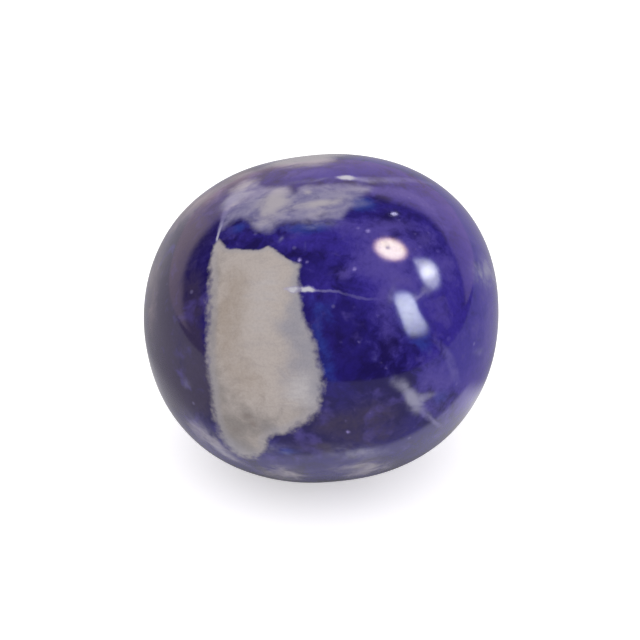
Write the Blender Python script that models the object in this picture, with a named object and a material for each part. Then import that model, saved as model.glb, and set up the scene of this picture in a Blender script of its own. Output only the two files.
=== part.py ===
"""A tumbled lapis lazuli stone: one polished pebble that rests on a small flat spot.

The form is a slightly boxy ellipsoid, rolled a little about its front-to-back axis, with broad low
swells and worn flats. The underside is cut off flat where the stone rests. Metres, +Z up, the origin
on the ground at the middle of the stone's plan.
"""

import math

import bmesh
import bpy
from mathutils import Vector

# Size of the rounded form, before the swells and the cut
WIDTH = 0.0261
DEPTH = 0.0249
HEIGHT = 0.0231

# 2 gives a true ellipsoid, and a higher power fills out its shoulders
FULLNESS = 2.2

# How far the right end is turned up
ROLL = math.radians(7.5)

# Thickness of stone that the flat resting spot takes off the underside
FOOT_CUT = 0.00035

# Points round the foot's edge that are nearer to each other than this become one
FOOT_EDGE_STEP = 0.0003

# Each swell is an azimuth from the front towards the right and an elevation, both in degrees, then
# its reach in degrees and its height. A negative height is a worn flat.
SWELLS = (
    (70, 35, 30, 0.00030),
    (-60, 45, 30, -0.00010),
    (-95, -10, 30, 0.00005),
    (95, -30, 35, -0.00065),
    (-60, -45, 35, -0.00020),
    (0, -50, 35, -0.00010),
    (180, 40, 45, -0.00020),
    (150, -15, 30, 0.00020),
)

# Cells along each edge of the cube that the surface is spread from
CELLS = 24

# Linear colour of the blue body, seen without its white markings
LAPIS_BLUE = (0.030, 0.021, 0.200, 1.0)
POLISH_ROUGHNESS = 0.08


def direction(azimuth, elevation):
    """The unit vector at an azimuth from the front (-Y) towards +X and at an elevation, in degrees."""
    turn, rise = math.radians(azimuth), math.radians(elevation)
    return Vector((math.cos(rise) * math.sin(turn), -math.cos(rise) * math.cos(turn), math.sin(rise)))


def rounded_form(way):
    """Distance from the stone's middle to the boxy ellipsoid, along the unit vector way."""
    cosine, sine = math.cos(ROLL), math.sin(ROLL)
    along = cosine * way.x + sine * way.z
    upward = cosine * way.z - sine * way.x
    shares = (2 * along / WIDTH, 2 * way.y / DEPTH, 2 * upward / HEIGHT)
    return sum(abs(share) ** FULLNESS for share in shares) ** (-1 / FULLNESS)


def swell_height(way):
    """Height that all the swells add along the unit vector way. Each falls off as a smooth bell."""
    height = 0.0
    for azimuth, elevation, reach, peak in SWELLS:
        spread = 1 - math.cos(math.radians(reach))
        height += peak * math.exp((way.dot(direction(azimuth, elevation)) - 1) / spread)
    return height


def spread_on_sphere(corner):
    """The unit vector of a point on the cube from -1 to 1, in steps of equal angle over each side."""
    return Vector(math.tan(math.pi / 4 * value) for value in corner).normalized()


def cut_foot(shape):
    """Cuts the underside off flat and closes the cut with one face."""
    lowest = min(vertex.co.z for vertex in shape.verts)
    everything = shape.verts[:] + shape.edges[:] + shape.faces[:]
    cut = bmesh.ops.bisect_plane(
        shape,
        geom=everything,
        dist=1e-7,
        plane_co=(0, 0, lowest + FOOT_CUT),
        plane_no=(0, 0, 1),
        clear_inner=True,
    )
    rim = [item for item in cut["geom_cut"] if isinstance(item, bmesh.types.BMVert)]
    bmesh.ops.remove_doubles(shape, verts=rim, dist=FOOT_EDGE_STEP)
    open_edges = [edge for edge in shape.edges if edge.is_boundary]
    bmesh.ops.contextual_create(shape, geom=open_edges)


def stand_at_origin(shape):
    """Moves the stone until its foot is on the ground and its plan is centred on the origin."""
    low = [min(vertex.co[axis] for vertex in shape.verts) for axis in range(3)]
    high = [max(vertex.co[axis] for vertex in shape.verts) for axis in range(3)]
    shift = Vector((-(low[0] + high[0]) / 2, -(low[1] + high[1]) / 2, -low[2]))
    bmesh.ops.translate(shape, vec=shift, verts=shape.verts)


def polished_lapis():
    """The glossy ultramarine of the polished stone."""
    material = bpy.data.materials.new("polished_lapis")
    material.use_nodes = True
    shader = material.node_tree.nodes["Principled BSDF"]
    shader.inputs["Base Color"].default_value = LAPIS_BLUE
    shader.inputs["Roughness"].default_value = POLISH_ROUGHNESS
    shader.inputs["Metallic"].default_value = 0.0
    return material


def make_stone():
    """The pebble: a finely divided cube, each point of it moved out to the stone's surface."""
    shape = bmesh.new()
    bmesh.ops.create_cube(shape, size=2)
    bmesh.ops.subdivide_edges(shape, edges=shape.edges[:], cuts=CELLS - 1, use_grid_fill=True)
    for vertex in shape.verts:
        way = spread_on_sphere(vertex.co)
        vertex.co = way * (rounded_form(way) + swell_height(way))
    cut_foot(shape)
    stand_at_origin(shape)
    bmesh.ops.recalc_face_normals(shape, faces=shape.faces)
    mesh = bpy.data.meshes.new("stone")
    shape.to_mesh(mesh)
    shape.free()
    mesh.shade_smooth()
    mesh.set_sharp_from_angle(angle=math.radians(25))
    mesh.materials.append(polished_lapis())
    stone = bpy.data.objects.new("stone", mesh)
    bpy.context.scene.collection.objects.link(stone)
    return stone


def clear_scene():
    """Removes whatever the scene held before."""
    for item in list(bpy.data.objects):
        bpy.data.objects.remove(item, do_unlink=True)


clear_scene()
make_stone()
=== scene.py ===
"""A tumbled lapis lazuli stone: deep ultramarine, with pale calcite patches and veins, polished.

The stone is one fine surface over the CAD solid. Its markings are drawn where the photograph shows
them: points are given in the photograph's own pixels, and followed down the camera's rays onto the
surface. They are kept on the mesh as smooth fields, such as the depth inside a patch, and the
material turns those into crisp or clouded edges with procedural noise. The far side has markings of
the same kinds, laid out in millimetres. Metres, +Z up, unless a name or comment says otherwise.
"""

import math

import bpy
import numpy as np
from mathutils import Matrix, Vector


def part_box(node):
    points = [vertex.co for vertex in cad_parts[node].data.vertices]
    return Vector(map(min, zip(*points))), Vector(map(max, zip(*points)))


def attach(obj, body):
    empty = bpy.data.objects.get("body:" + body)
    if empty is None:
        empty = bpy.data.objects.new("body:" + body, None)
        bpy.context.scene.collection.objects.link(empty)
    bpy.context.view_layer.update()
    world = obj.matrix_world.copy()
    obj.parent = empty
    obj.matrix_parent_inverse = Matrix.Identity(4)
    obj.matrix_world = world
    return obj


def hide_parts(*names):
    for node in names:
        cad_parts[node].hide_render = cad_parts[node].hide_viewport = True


MM = 0.001

# Form of the stone before its foot is flattened, as the CAD solid has it
WIDTH = 26.1 * MM
DEPTH = 24.9 * MM
HEIGHT = 23.1 * MM
FULLNESS = 2.2
ROLL = math.radians(7.5)
FOOT_CUT = 0.35 * MM

# Azimuth from the front towards the right, elevation, reach (all in degrees) and height of each swell
SWELLS = (
    (70, 35, 30, 0.30 * MM),
    (-60, 45, 30, -0.10 * MM),
    (-95, -10, 30, 0.05 * MM),
    (95, -30, 35, -0.65 * MM),
    (-60, -45, 35, -0.20 * MM),
    (0, -50, 35, -0.10 * MM),
    (180, 40, 45, -0.20 * MM),
    (150, -15, 30, 0.20 * MM),
)

# Cells along each edge of the cube that the fine surface is spread from
CELLS = 127

# How rounded the edge of the foot is
FOOT_EDGE = 0.05 * MM

# Faint waviness that polishing leaves: its seed, the number of waves, their height, and the fewest and
# most half turns of a wave from the stone's middle to its surface
WAVE_SEED = 7
WAVES = 14
WAVE_HEIGHT = 0.004 * MM
WAVE_TURNS = (2.0, 5.0)

# How far the polish sinks into the softer calcite, and how far inside its edge in mm it is that deep
CALCITE_SINK = 0.012 * MM
CALCITE_SINK_RUN = 0.35

# The camera: the photograph's size in pixels, the view's elevation and distance, the stone's width in
# pixels and in metres, where its middle lies in the picture, and the width of the sensor in mm
PICTURE = 640
ELEVATION = math.radians(33)
CAMERA_DISTANCE = 0.200
STONE_PIXELS = 354
STONE_WIDTH = 26 * MM
MIDDLE_PIXEL = (322.4, 317.5)
SENSOR = 36.0

# How often a ray's span is halved to find the stone, and the step by which its slope is measured there
RAY_HALVINGS = 40
SLOPE_STEP = 0.01 * MM

# The radius at which angles round the stone are laid out flat as lengths, in mm
UNROLL_RADIUS = 12.5

# How far fields are kept beside a patch's edge and beside a vein, and where a vein's field has faded
# beside it and past its ends, all in mm
DEPTH_LIMIT = 3.0
VEIN_REACH = 1.3
VEIN_SIDE_FADE = (0.8, 1.1)
VEIN_END_FADE = (0.05, 0.35)

# Sides of the stone that are laid out flat: azimuth from the front towards the right, and elevation.
# On each, x is to the right and y upward as someone facing that side sees it, in mm from its middle.
# The side called photo is given in photo pixels instead.
SIDES = {
    "back": (180, 10),
    "left": (-105, 0),
    "right": (105, 5),
    "under": (0, -90),
}

# Closed outlines of patches by kind and side. The veil is rock in which white and blue are mixed.
OUTLINES = {
    "calcite": {
        "photo": ((
            (218.5, 239), (223, 244.5), (230, 249.3), (237, 249.3), (243, 249.8), (249, 249.5),
            (255, 250.2), (262, 248.8), (268, 246.3), (273, 248), (278, 252.2), (285, 257.8), (293, 262.2),
            (299.8, 264), (298.5, 271), (297, 279), (299.5, 288), (300.3, 298), (301, 307), (302.5, 316),
            (307, 327), (312.6, 338), (315.6, 350), (317, 361), (321, 371), (322.3, 381), (320.3, 392),
            (319.5, 401), (317.5, 411), (308.5, 418), (300.5, 424), (292, 430), (283, 433), (275, 433.5),
            (268, 438), (265.5, 444), (265, 450), (257, 456), (246, 457.5), (234, 452), (225, 441),
            (218, 427), (214.5, 412), (212, 397), (210.8, 386), (208.8, 374), (208, 360), (207.3, 346),
            (207.2, 330), (208.3, 316), (208.6, 303), (209.6, 288), (210.5, 277), (210, 266), (212, 254),
            (214.5, 245),
        ),),
        "back": ((
            (-7.4, 3.3), (-6.9, 3.9), (-5.6, 4.3), (-3.7, 4.1), (-3.2, 4.6), (-2.2, 4.9), (-1.7, 4.3),
            (-0.7, 3.6), (-0.5, 3), (-0.3, 1.4), (-0.9, 0.2), (-1.2, -0.6), (-0.9, -2.4), (-1.3, -3.1),
            (-2.1, -4.4), (-2.6, -6.6), (-3.2, -7.2), (-4.8, -7.7), (-5.4, -7.2), (-5.8, -5.6), (-6.4, -5),
            (-7.3, -4), (-7.6, -3.4), (-7.9, -1.2), (-7.7, 0.8),
        ),),
    },
    "white": {
        "right": (((-2.4, -3.7), (-0.6, -2.8), (0.8, -2.4), (2.8, -2.7), (1.4, -3.7), (-0.4, -4.4)),),
        "under": (((-2, 3), (0.6, 4), (2.6, 2.8), (1, 1.4), (-1.4, 1.6)),),
    },
    "veil": {
        "photo": ((
            (222, 227), (224, 215), (228, 204), (234, 196), (243, 187), (254, 183), (263, 187), (276, 188),
            (286, 187), (289.5, 191), (294, 193.5), (298.5, 191), (301, 187), (312, 186), (326, 185),
            (340, 184), (356, 185), (372, 188), (366, 193), (359, 198), (352, 205), (345, 212), (338, 218),
            (325, 221), (308, 222), (292, 222), (280, 224), (273, 229), (264, 231), (256, 228), (249, 220),
            (240, 218), (231, 222),
        ),),
        "back": ((
            (-9, 8), (-5, 9.2), (-1.5, 10), (1, 12), (3.5, 11.5), (6.5, 9), (4, 8), (1, 7.6), (-3, 6.4),
            (-7, 6.2),
        ), (
            (3, 1.5), (8, 3), (12, 1), (9, -0.6), (5, -0.4),
        ), (
            (3.6, -5.2), (4.8, -4), (7, -3.8), (8.2, -3), (10, -3.6), (9.4, -5), (7.6, -5.6), (7, -7.2),
            (5.4, -7.6), (4.4, -6.4),
        )),
        "left": ((
            (-6.8, 0.2), (-6.2, 2), (-5, 2.8), (-4.2, 4.4), (-3.2, 4), (-3, 2), (-2, 0.6), (-2.8, -1.2),
            (-2.6, -3), (-4, -4.2), (-4.6, -2.2), (-6.2, -1.6),
        ),),
    },
}

# White veins, in groups whose members keep 3 mm apart. Each point of a vein is its place, half the
# vein's width in mm, and how strongly it shows.
VEINS = {
    "main": {
        "photo": ((
            (217.5, 239, 0.09, 0.8), (219.5, 230, 0.14, 0.6), (222.5, 220, 0.18, 0.4),
            (226.5, 210, 0.3, 0.2), (231.5, 200, 0.42, 0.12), (238, 191, 0.5, 0.05),
        ), (
            (287, 289, 0.1, 0.5), (291, 289.5, 0.17, 1), (300, 289.5, 0.19, 1), (311, 289.3, 0.17, 1),
            (316, 290.2, 0.09, 0.45), (326, 291, 0.08, 0.34), (336, 291.8, 0.08, 0.26),
            (346, 294, 0.08, 0.12), (356, 297, 0.09, 0.16), (366, 298.5, 0.09, 0.16),
            (376, 299, 0.08, 0.05),
        ), (
            (338, 177.5, 0.2, 0.6), (343, 177.5, 0.34, 1), (350, 178, 0.34, 1), (356, 178.5, 0.26, 0.5),
            (366, 179.5, 0.34, 0.3), (385, 179.5, 0.36, 0.25), (409, 180, 0.34, 0.2),
            (432, 184, 0.26, 0.1),
        ), (
            (420, 410, 0.2, 0.2), (427, 417, 0.2, 0.3), (434, 422, 0.18, 0.25), (441, 427, 0.16, 0.12),
        )),
        "back": ((
            (-9.5, 1, 0.08, 0.2), (-6, 0.2, 0.1, 0.7), (-2, -0.8, 0.12, 0.8), (1.5, -0.4, 0.2, 0.9),
            (4, 0.6, 0.16, 0.8), (7.5, 0.2, 0.1, 0.6), (11, 1.2, 0.1, 0.3),
        ), (
            (2, -6, 0.1, 0.3), (5, -7, 0.22, 0.8), (8, -6.6, 0.14, 0.6), (11, -7.6, 0.1, 0.3),
        )),
        "right": ((
            (-5, 3.5, 0.08, 0.2), (-3, 1.5, 0.12, 0.6), (-1.5, 0.8, 0.2, 0.6), (0.5, -0.6, 0.1, 0.5),
            (2.5, -0.2, 0.08, 0.2),
        ),),
    },
    "second": {
        "photo": ((
            (435, 341, 0.2, 0.05), (442, 347, 0.26, 0.12), (449, 357, 0.32, 0.14), (455, 375, 0.34, 0.1),
            (458, 386, 0.28, 0.05),
        ), (
            (413, 300, 0.1, 0.15), (417, 297.5, 0.15, 0.35), (422, 294, 0.12, 0.2),
        )),
        "back": ((
            (2.2, 9, 0.08, 0.3), (2.8, 5, 0.1, 0.6), (2.2, 1.5, 0.1, 0.7), (3.4, -2, 0.08, 0.4),
            (3.2, -4.4, 0.08, 0.1),
        ),),
        "left": ((
            (-3.4, 3.8, 0.08, 0.3), (-1.4, 2, 0.12, 0.6), (-0.4, 0, 0.1, 0.5), (0.8, -3, 0.12, 0.5),
            (2.4, -5.5, 0.08, 0.2),
        ),),
        "under": ((
            (-6, -3, 0.08, 0.3), (-2, -1.5, 0.14, 0.7), (2, -2.2, 0.12, 0.6), (6, -0.5, 0.08, 0.3),
        ),),
    },
}

# Soft dabs by kind and side: the place, half the length and half the breadth in mm, the turn of the
# length above the horizontal in degrees, and the strength. Haze and pale lie on the blue rock and the
# veil, and mauve clouds both near the left rim. Teal, glow and violet colour the blue rock, and lilac
# too, though round the lamp's and the windows' reflections the lilac is partly a painted glow of them.
# Dusk greys and darkens the blue towards the left and the bottom, and shade darkens it. Warm, cool, dun,
# chalk and rust tint the calcite, and ragged frays its edge; the warm, cool and dun dabs low on the
# calcite and at its left are partly painted shade, darker towards the bottom and the left.
DABS = {
    "haze": {
        "photo": (
            (241, 193, 1.5, 0.8, 45, 0.5), (398, 384, 0.9, 0.5, -40, 0.35), (411, 397, 1.3, 0.5, -54, 0.9),
            (425, 397, 0.9, 0.35, 12, 0.5), (430, 416, 1.3, 0.25, -48, 0.3),
            (360, 204, 1.2, 0.6, 10, 0.25), (416, 407, 0.7, 0.6, -50, 0.5), (231, 199, 1.5, 0.8, 58, 0.6),
            (316, 180, 3.4, 0.4, 2, 0.3), (281, 239, 0.34, 0.2, 60, 0.5), (305, 246, 0.12, 0.5, 0, 0.2),
            (375, 181, 2.2, 0.5, 0, 0.35), (310, 225, 2.2, 0.5, 0, 0.3), (336, 220, 1, 0.45, 25, 0.15),
            (252, 221, 1.2, 0.8, -20, 0.15), (264, 227, 0.7, 0.5, 0, 0.15), (487, 271, 2.4, 1.3, 15, 0.6),
            (479, 352, 1.3, 0.5, -10, 0.2), (424, 292, 1.3, 0.5, 25, 0.35), (391, 296, 0.3, 0.8, -20, 0.3),
            (328, 449, 2.2, 0.7, 0, 0.14), (276, 450, 1.6, 0.8, 0, 0.4), (186, 384, 0.7, 0.6, 0, 0.2),
            (222, 452, 1.6, 0.6, -40, 0.6), (204, 430, 2, 0.6, -50, 0.3), (362, 452, 2.2, 0.9, 0, 0.45),
        ),
        "back": ((-2, 8, 3, 1.4, 10, 0.5), (6, -7, 1.6, 0.8, 20, 0.5)),
        "left": ((3, -6, 1.6, 1, -30, 0.5), (-3, 6, 2, 0.7, 20, 0.4)),
        "under": ((0, -5, 3.4, 1.2, 14, 0.5), (-5, 1, 3, 1, 66, 0.45)),
    },
    "pale": {
        "photo": (
            (242, 188, 1.8, 1.2, 42, 0.55), (230, 208, 1, 0.6, 62, 0.35), (273, 203, 1.9, 1.2, 75, 1),
            (264, 217, 1, 0.8, -60, 0.35), (283, 205, 1, 0.8, 0, 0.3), (300, 206, 1.2, 0.6, 0, 0.35),
            (322, 203.5, 1.4, 0.42, 3, 0.95), (336, 200, 1, 0.35, 18, 0.45), (308, 192, 0.5, 0.4, 10, 0.5),
            (320, 213, 2, 0.5, 4, 0.3), (345, 191, 1.6, 0.5, 12, 0.25), (293, 160.5, 2.8, 1.7, 8, 0.9),
            (318, 158.5, 2.2, 1.7, 0, 0.9), (282, 475, 2.2, 1.7, 0, 0.55), (361, 471, 2.8, 1.7, 0, 0.55),
            (233, 459, 1.4, 0.6, -30, 0.4), (201, 434, 2.4, 1.5, -48, 0.35),
            (214, 441, 1.6, 0.7, -42, 0.3),
        ),
        "back": (
            (1, 10.6, 2.6, 1.3, 0, 0.9), (-2.6, 8.4, 1.6, 0.7, 10, 0.6), (4.8, 9, 1.2, 0.7, -15, 0.5),
            (7.4, 1.4, 1.4, 0.5, 5, 0.7), (5, -9, 1.2, 0.8, 0, 0.6), (6.2, -5.6, 1.3, 0.7, 30, 0.9),
            (8.2, -4, 1.2, 0.4, 10, 0.7), (4.6, 6.2, 2, 0.5, 10, 0.6), (-4, -10.5, 1.6, 0.9, 10, 0.5),
        ),
        "left": (
            (2, -8, 1.4, 0.7, 0, 0.5), (-5.5, -9, 1.2, 0.8, 20, 0.5), (-4.4, 1.4, 1.8, 0.8, 70, 0.9),
            (-3.8, -2.2, 0.9, 0.5, -60, 0.7),
        ),
        "right": ((0, -9.5, 1.6, 0.7, 0, 0.5), (4.5, -8, 1, 0.5, 10, 0.4)),
        "under": (
            (-4.4, -3.7, 2.2, 0.5, 34, 0.7), (-3.2, -3.4, 1, 0.7, -10, 0.5), (3.6, 4.8, 2.6, 0.5, 8, 0.65),
            (5.2, 5.6, 1.2, 0.5, 50, 0.5),
        ),
    },
    # Lilac round the lamp's and the windows' reflections is partly a painted glow of those reflections.
    "lilac": {
        "photo": (
            (344, 274, 0.7, 0.5, 20, 0.7), (372, 266, 1.7, 1, -30, 0.6), (397, 275, 2.2, 1.1, -25, 0.75),
            (372, 232, 1.8, 0.9, 10, 0.6), (425, 240, 1.2, 0.9, 30, 0.5), (388, 320, 0.9, 1.6, 0, 0.4),
            (440, 380, 2, 2, 20, 0.6), (392, 343, 1, 1.2, 0, 0.35), (300, 174, 3.4, 0.7, 3, 0.6),
            (486, 330, 1.6, 3.6, 0, 0.4), (376, 192, 2, 0.7, 5, 0.8), (340, 224, 1.6, 0.8, 10, 0.6),
            (402, 193, 1.8, 0.8, -10, 0.7), (425, 205, 1.6, 0.8, -30, 0.6), (442, 224, 1.4, 0.7, -50, 0.4),
            (390, 252, 2.5, 1.6, -12, 0.7), (396, 224, 2, 0.8, 0, 0.6), (386, 296, 0.8, 1.2, -20, 0.8),
            (447, 264, 1.1, 1.8, 0, 0.55), (424, 408, 2, 1, -45, 0.4), (440, 408, 1.4, 1.2, 0, 0.4),
        ),
        "back": ((8, 6, 2, 1.4, 20, 0.6), (0.5, -9, 2.4, 1, 0, 0.6), (-9, -3, 1.4, 2.4, 0, 0.5)),
        "left": ((-4, 4.5, 1.8, 1.2, -20, 0.5), (-8, -3, 1.6, 1.6, 0, 0.5)),
        "right": ((3, 5, 2.2, 1.4, 20, 0.6), (-2, -7, 2, 1, 0, 0.5)),
    },
    "teal": {
        "photo": (
            (361, 204, 1.1, 0.8, 10, 1), (308, 228, 2, 0.6, 0, 0.8), (238, 229, 0.8, 0.6, 0, 0.6),
            (318, 335, 1.5, 0.5, -70, 0.5), (327, 368, 1.4, 0.7, -70, 0.4), (289, 452, 1, 0.4, 0, 0.5),
            (422, 341, 1, 0.8, 0, 0.5), (440, 398, 1, 0.7, 0, 0.6), (322, 310, 1.4, 0.8, -60, 0.4),
        ),
        "back": ((0.6, 2, 0.6, 1.8, 10, 0.8), (-2, -5.6, 0.8, 1.4, -20, 0.7), (6, -1.6, 1.8, 0.6, 0, 0.6)),
        "right": ((-4, -1, 1.2, 0.8, 0, 0.6),),
    },
    "glow": {
        "photo": (
            (440, 300, 3.6, 4.5, 0, 0.7), (490, 300, 3.4, 8, 0, 1), (458, 370, 3, 2.4, 0, 0.9),
            (430, 205, 5, 3, -40, 0.7), (330, 172, 6, 1.8, 0, 0.8), (400, 160, 6, 3, 0, 0.9),
            (352, 238, 3.4, 2.6, 0, 0.7), (300, 240, 2.6, 1, 0, 0.7), (245, 232, 1.6, 1, 0, 0.5),
            (390, 280, 2.6, 2.6, 0, 0.8), (318, 292, 1.4, 1.4, 0, 0.5),
        ),
        "back": ((9, 5, 4, 5, 0, 0.8), (-10, 2, 4, 4, 0, 0.6), (1, 4, 2.4, 1.6, 0, 0.5)),
        "right": ((0, 4, 5, 5, 0, 0.9), (4, -3, 3, 2, 0, 0.6)),
    },
    "violet": {
        "photo": (
            (496, 320, 3.6, 10, 0, 1), (470, 395, 3, 2.6, 30, 0.8), (470, 210, 4, 4, -50, 1),
            (400, 156, 6, 3, 0, 0.9),
        ),
        "back": ((10, 6, 4, 6, 0, 0.7),),
        "right": ((0, 3, 4, 6, 0, 0.9),),
    },
    # Dusk greys and darkens the blue towards the left rim and near the bottom.
    "dusk": {
        "photo": (
            (160, 320, 3.2, 9, 0, 1), (190, 235, 2.4, 2, 45, 0.7), (184, 395, 2.4, 2.6, -40, 0.7),
            (192, 345, 1.2, 2.4, 0, 0.8), (200, 385, 1, 2.4, 0, 0.8), (330, 425, 2.4, 1.2, 0, 0.5),
            (193, 300, 1.2, 2.2, 0, 0.55), (322, 448, 2.6, 1, 0, 0.6), (372, 438, 2.6, 1, 0, 0.5),
            (375, 415, 3, 1.6, 0, 0.6),
        ),
        "left": ((1, 0, 5, 6, 0, 0.9), (-6, 3, 3, 4, 0, 0.5)),
    },
    "shade": {
        "photo": (
            (200, 300, 1, 6, 0, 0.6), (350, 360, 2.4, 1, 0, 0.6), (365, 400, 3.6, 2, 0, 0.8),
            (285, 441, 1.2, 0.6, 0, 0.5), (251, 462, 0.8, 0.35, 0, 0.9), (352, 456.5, 0.6, 0.4, 0, 0.8),
        ),
        "back": ((-1, -2, 1.6, 3, 0, 0.7), (6, -3, 3, 2, 0, 0.6)),
    },
    "rust": {
        "photo": (
            (247, 416, 0.36, 0.24, 0, 0.45), (253, 424, 0.3, 0.24, -50, 0.45),
            (236, 430, 0.3, 0.2, 0, 0.25),
        ),
        "back": ((-4.4, 1, 0.5, 0.3, 20, 0.7), (-3.4, -3.2, 0.3, 0.3, 0, 0.8), (-5.6, -2, 1, 0.8, 0, 0.3)),
    },
    "mauve": {
        "photo": (
            (203, 198, 2.8, 2.1, 45, 0.7), (240, 175, 2.6, 2.1, 30, 0.65), (171, 230, 2.6, 1.6, 60, 0.28),
            (153, 272, 2.6, 1.9, 76, 0.42), (151, 310, 2.4, 1.3, 88, 0.35), (276, 166, 2, 1, 18, 0.4),
        ),
        "left": ((-2, 7, 2.6, 1.4, 10, 0.5),),
    },
    # Warm, cool and dun dabs low on the calcite and at its left are partly painted shade, darker towards
    # the bottom and the left.
    "warm": {
        "photo": (
            (226, 320, 1.4, 4, 0, 0.75), (240, 285, 1, 1.8, 0, 0.3), (248, 385, 1.8, 2, 0, 0.55),
            (243, 424, 1.4, 0.9, 0, 0.6),
        ),
        "back": ((-5.8, 1, 1.4, 2, 0, 0.8), (-3.8, -5, 1, 1.4, 0, 0.5)),
    },
    "cool": {
        "photo": (
            (297, 300, 0.9, 3.4, -4, 0.8), (288, 328, 1, 0.7, 0, 0.7), (306, 350, 1.2, 2.2, -15, 0.95),
            (314, 386, 1, 2.4, -10, 0.95), (236, 446, 2, 1.2, -20, 1), (270, 428, 1.8, 0.6, 0, 0.6),
            (288, 385, 1.4, 2, 0, 0.3),
        ),
        "back": ((-1.2, 1.5, 0.8, 2.4, 10, 0.8), (-2.4, -4.5, 0.8, 1.6, -20, 0.7)),
    },
    "dun_and_shade": {
        "photo": (
            (214, 385, 1, 2.4, 0, 0.7), (212, 315, 0.6, 5, 0, 0.6), (228, 425, 1.4, 1.2, -40, 0.7),
            (247, 416, 0.5, 0.35, 30, 0.6), (253, 424, 0.3, 0.4, -60, 0.6), (236, 428, 0.4, 0.3, 0, 0.6),
            (222, 262, 0.7, 0.9, 0, 0.3), (241, 432, 2.6, 1.9, -15, 0.75), (262, 424, 2, 1.2, 10, 0.5),
            (236, 400, 2.4, 1.8, 0, 0.35), (300, 410, 1.6, 1.2, -30, 0.35), (250, 452, 1.6, 0.8, 0, 0.6),
        ),
        "back": ((-7.2, 0, 0.7, 3, 0, 0.8),),
    },
    "chalk": {
        "photo": (
            (260, 320, 1.5, 2.4, 0, 0.3), (300, 388, 1, 1.4, -30, 0.8), (268, 285, 1.2, 1.4, 0, 0.4),
            (212, 250, 0.4, 0.7, 0, 0.6), (312, 402, 0.8, 0.5, 0, 0.5),
        ),
        "back": ((-3, 3.4, 1.2, 0.8, 0, 0.6), (-4.6, -0.8, 1, 1.2, 0, 0.4)),
    },
    "ragged": {
        "photo": (
            (321, 388, 1, 2.8, 0, 0.6), (312, 345, 0.8, 2.6, -15, 0.5), (303, 428, 1.8, 1, 30, 0.75),
            (246, 460, 3.4, 1.8, -15, 1), (216, 435, 1.4, 2.2, 20, 1), (209, 280, 0.8, 2.6, 0, 0.4),
            (208, 345, 0.8, 3, 0, 0.45), (208, 305, 0.8, 1.8, 0, 0.5), (301, 290, 0.5, 2.4, 0, 0.35),
            (210, 392, 0.8, 2, 0, 0.6), (268, 440, 0.8, 0.8, 0, 0.5),
        ),
        "back": ((-4, -7, 2, 1.4, 0, 0.9), (-0.6, -2, 0.6, 2, 0, 0.5), (-7.8, 1, 0.8, 2.6, 0, 0.5)),
    },
}

# Single pale flecks in photo pixels: x, y, half the breadth in mm, and strength
FLECKS = (
    (299.5, 260, 0.14, 1), (307, 262, 0.14, 0.5), (358, 228, 0.18, 0.4), (368, 231, 0.19, 0.7),
    (354.5, 269, 0.16, 0.7), (415, 234, 0.15, 0.3), (429, 233, 0.14, 0.3), (420, 247, 0.15, 0.3),
    (378, 316, 0.14, 0.3), (359, 342, 0.14, 0.35), (341, 342, 0.14, 0.25), (386, 368, 0.15, 0.3),
    (381, 363, 0.14, 0.25), (348, 432, 0.17, 0.7), (346, 421, 0.15, 0.3), (354.5, 410, 0.14, 0.25),
    (370, 413, 0.14, 0.25), (368, 440, 0.14, 0.25), (437.5, 251, 0.15, 0.3), (456.5, 384, 0.16, 0.3),
    (480, 353, 0.3, 0.25),
)

# Reflected lights, as they lie in the photograph: middles and half sizes in pixels, and outlines
LAMP_MIDDLE = (390.6, 249.3)
LAMP_HALF = (19.5, 12.3)
LAMP_TILT = math.radians(18)
SPARK_MIDDLE = (394.3, 214)
SPARK_HALF = (3.6, 1.6)
WINDOW_OUTLINES = {
    "upper_window": (
        (411.5, 258), (419, 256), (428, 257), (434.5, 261), (439.5, 268), (442, 279), (441, 287.5),
        (434, 291.5), (424.5, 287), (419, 277), (414.5, 266),
    ),
    "lower_window": (
        (395.5, 290), (403, 289), (409.5, 291), (414.5, 296), (417.5, 303), (420, 310), (424.5, 318),
        (429, 325), (430.5, 331.5), (427, 337), (418, 339.5), (410, 339), (405.5, 334), (402.5, 327),
        (400.5, 321), (398, 314), (395.5, 307), (392.5, 300), (392.5, 294),
    ),
}

# Each light's own look, as the function glowing describes it
LIGHTS = {
    "lamp": {
        "inner": (1.0, 0.86, 0.66, 1), "outer": (0.62, 0.37, 0.34, 1), "strength": 25.7, "fade": 0.66,
        "spot": (387.8, 247.6),
    },
    "upper_window": {
        "inner": (0.93, 0.96, 1.0, 1), "outer": (0.60, 0.64, 0.90, 1), "strength": 28, "fade": 0.66,
        "heart": (427.5, 272), "reach": 12, "low": 0.33,
    },
    "lower_window": {
        "inner": (0.86, 0.93, 1.0, 1), "outer": (0.62, 0.68, 1.0, 1), "strength": 18, "fade": 0.72,
        "heart": (407, 307), "reach": 38, "low": 0.32,
    },
    "spark": {
        "inner": (0.76, 0.72, 1.0, 1), "outer": (0.45, 0.42, 0.9, 1), "strength": 16.1, "fade": 0.80,
    },
}

# How far from the stone the lights hang, the rings of points in each, and where the innermost ring lies
# as a share of the way out
PANE_DISTANCE = 0.35
PANE_RINGS = 12
PANE_HOLE = 0.02

# Distances in photo pixels from the middle of a light's dark spot between which it clears
SPOT_EDGE = (0.9, 2.7)

# The floor: its size, how pale it is, how much it glows, and the tint of that
FLOOR_SIZE = 1.2
FLOOR_PALE = 0.95
FLOOR_GLOW = 0.45
FLOOR_TINT = (1.0, 0.98, 1.0, 1)

# In the polish, the floor is white in an ellipse round the stone, grey further out, and dark in front.
# The dark part comes nearer to either side, by a share of the distance aside.
WHITE_MIDDLE = (0.0, 1.5 * MM, 0.0)
WHITE_HALF = (23.8 * MM, 16 * MM)
WHITE_END = 1.06
DARK_FRONT_START = 68 * MM
DARK_FRONT_BLUR = 6 * MM
DARK_FRONT_LEFT = 0.35
DARK_FRONT_RIGHT = 0.60
DARK_FRONT_LEVEL = 0.02

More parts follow.
